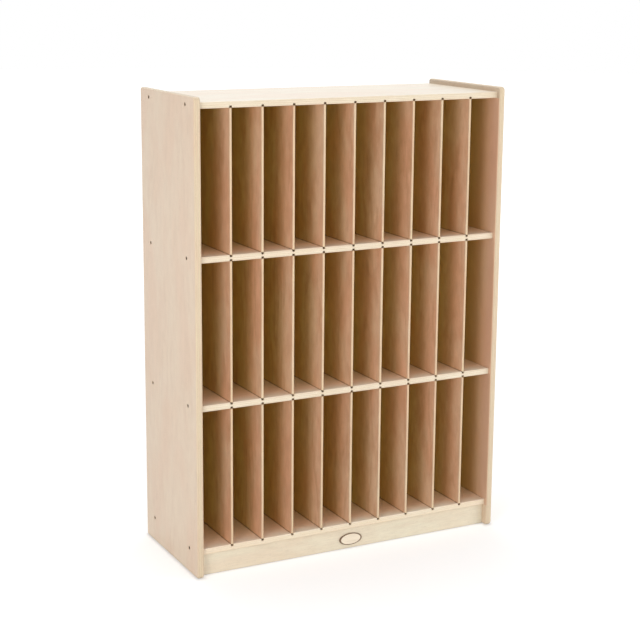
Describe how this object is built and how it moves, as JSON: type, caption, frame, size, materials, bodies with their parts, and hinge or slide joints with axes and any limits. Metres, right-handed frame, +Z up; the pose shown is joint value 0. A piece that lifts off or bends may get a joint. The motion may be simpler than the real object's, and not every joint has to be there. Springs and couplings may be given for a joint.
{
  "type": "cubby cabinet",
  "caption": "Tall open-front plywood cubby cabinet with rows of narrow upright slots parted by thin dividers, standing on its sides and a toe kick.",
  "frame": {"origin": "middle of the cabinet's footprint, at floor level", "axes": "+X to the right seen from the front, front faces -Y, back faces +Y, +Z up"},
  "size_m": [0.875, 0.35, 1.2],
  "materials": {
    "side_plywood": "clear satin lacquer on pale birch plywood",
    "board_plywood": "clear satin lacquer on pale birch plywood",
    "divider_plywood": "clear satin lacquer on thin plywood",
    "back_plywood": "thin plywood, lightly sealed",
    "kick_plywood": "clear satin lacquer on pale birch plywood",
    "screw_steel": "bronzed steel"
  },
  "bodies": {
    "root": {"side_panel_left": "side_plywood", "side_panel_right": "side_plywood", "top_panel": "board_plywood", "upper_shelf": "board_plywood", "lower_shelf": "board_plywood", "bottom_shelf": "board_plywood", "toe_kick": "kick_plywood", "rear_rail": "kick_plywood", "back_panel": "back_plywood", "divider_row1_1": "divider_plywood", "divider_row1_2": "divider_plywood", "divider_row1_3": "divider_plywood", "divider_row1_4": "divider_plywood", "divider_row1_5": "divider_plywood", "divider_row1_6": "divider_plywood", "divider_row1_7": "divider_plywood", "divider_row1_8": "divider_plywood", "divider_row1_9": "divider_plywood", "divider_row2_1": "divider_plywood", "divider_row2_2": "divider_plywood", "divider_row2_3": "divider_plywood", "divider_row2_4": "divider_plywood", "divider_row2_5": "divider_plywood", "divider_row2_6": "divider_plywood", "divider_row2_7": "divider_plywood", "divider_row2_8": "divider_plywood", "divider_row2_9": "divider_plywood", "divider_row3_1": "divider_plywood", "divider_row3_2": "divider_plywood", "divider_row3_3": "divider_plywood", "divider_row3_4": "divider_plywood", "divider_row3_5": "divider_plywood", "divider_row3_6": "divider_plywood", "divider_row3_7": "divider_plywood", "divider_row3_8": "divider_plywood", "divider_row3_9": "divider_plywood", "screw_left_bottom_shelf_front": "screw_steel", "screw_left_bottom_shelf_rear": "screw_steel", "screw_left_lower_shelf_front": "screw_steel", "screw_left_lower_shelf_rear": "screw_steel", "screw_left_upper_shelf_front": "screw_steel", "screw_left_upper_shelf_rear": "screw_steel", "screw_left_top_panel_front": "screw_steel", "screw_left_top_panel_rear": "screw_steel", "screw_right_bottom_shelf_front": "screw_steel", "screw_right_bottom_shelf_rear": "screw_steel", "screw_right_lower_shelf_front": "screw_steel", "screw_right_lower_shelf_rear": "screw_steel", "screw_right_upper_shelf_front": "screw_steel", "screw_right_upper_shelf_rear": "screw_steel", "screw_right_top_panel_front": "screw_steel", "screw_right_top_panel_rear": "screw_steel"}
  },
  "joints": []
}
